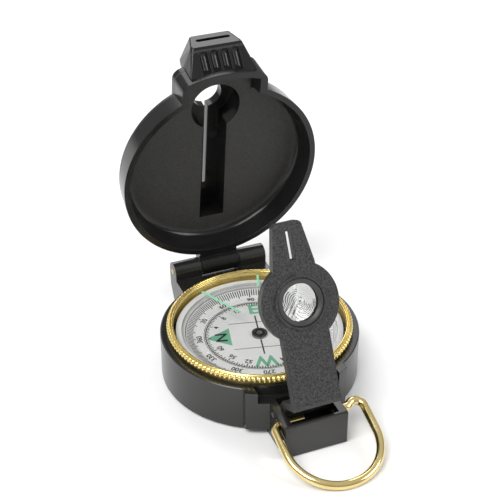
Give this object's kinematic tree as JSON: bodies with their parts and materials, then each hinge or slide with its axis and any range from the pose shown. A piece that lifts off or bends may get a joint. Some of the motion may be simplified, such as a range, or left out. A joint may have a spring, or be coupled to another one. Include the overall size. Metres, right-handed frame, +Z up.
{
  "type": "sighting compass",
  "caption": "Folding sighting compass with a hinged keyhole cover, a lens arm, a turning toothed bezel, a floating dial and a wire thumb loop.",
  "frame": {"origin": "centre of the round case's flat underside, on the case axis", "axes": "+Z up along the case axis, +Y towards the cover's hinge, -Y towards the thumb loop, +X to the right when the loop faces the user"},
  "size_m": [0.059, 0.1059, 0.0895],
  "materials": {
    "black_case": "gloss",
    "black_cover": "gloss",
    "brass_pin": "satin",
    "steel_pin": "satin",
    "ring_steel": "satin",
    "spring_steel": "satin",
    "capsule": "gloss",
    "window_clear": "clear",
    "gasket": "matte",
    "plug_brass": "satin",
    "pivot_steel": "satin",
    "arm_plastic": "fine grain",
    "lens_clear": "clear",
    "ring_black": "satin",
    "loop_brass": "polished",
    "bezel_brass": "polished",
    "crystal_clear": "clear",
    "lume_short": "matte",
    "lume_long": "matte",
    "dial_white": "printed",
    "magnet_steel": "matte",
    "hub_metal": "polished",
    "jewel_red": "polished"
  },
  "bodies": {
    "case": {"base_case": "black_case", "lid_hinge_pin": "brass_pin", "arm_hinge_pin": "steel_pin", "bezel_retaining_ring": "ring_steel", "click_spring": "spring_steel", "capsule_cup": "capsule", "capsule_window": "window_clear", "capsule_gasket": "gasket", "filler_plug": "plug_brass", "pivot_post": "pivot_steel"},
    "cover": {"lid": "black_cover"},
    "arm": {"lens_arm": "arm_plastic", "lens": "lens_clear", "lens_ring": "ring_black"},
    "loop": {"thumb_loop": "loop_brass"},
    "bezel": {"bezel_ring": "bezel_brass", "bezel_crystal": "crystal_clear", "short_luminous_line": "lume_short", "long_luminous_line": "lume_long"},
    "dial": {"dial_card": "dial_white", "magnet_bar": "magnet_steel", "dial_hub": "hub_metal", "jewel": "jewel_red"}
  },
  "joints": [
    {"name": "cover_hinge", "type": "hinge", "parent": "case", "child": "cover", "pos_m": [0, 0.03326, 0.01592], "axis": [1, 0, 0], "range_deg": [-91.8, 36]},
    {"name": "arm_hinge", "type": "hinge", "parent": "case", "child": "arm", "pos_m": [0, -0.031, 0.0086], "axis": [-1, 0, 0], "range_deg": [-8, 62.06]},
    {"name": "loop_swing", "type": "hinge", "parent": "case", "child": "loop", "pos_m": [0.00275, -0.0349, 0.008], "axis": [-1, 0, 0], "range_deg": [-105, 98]},
    {"name": "bezel_turn", "type": "hinge", "parent": "case", "child": "bezel", "pos_m": [0, 0, 0.0155], "axis": [0, 0, 1], "continuous": true},
    {"name": "dial_turn", "type": "hinge", "parent": "case", "child": "dial", "pos_m": [0, 0, 0.0118], "axis": [0, 0, 1], "continuous": true}
  ]
}
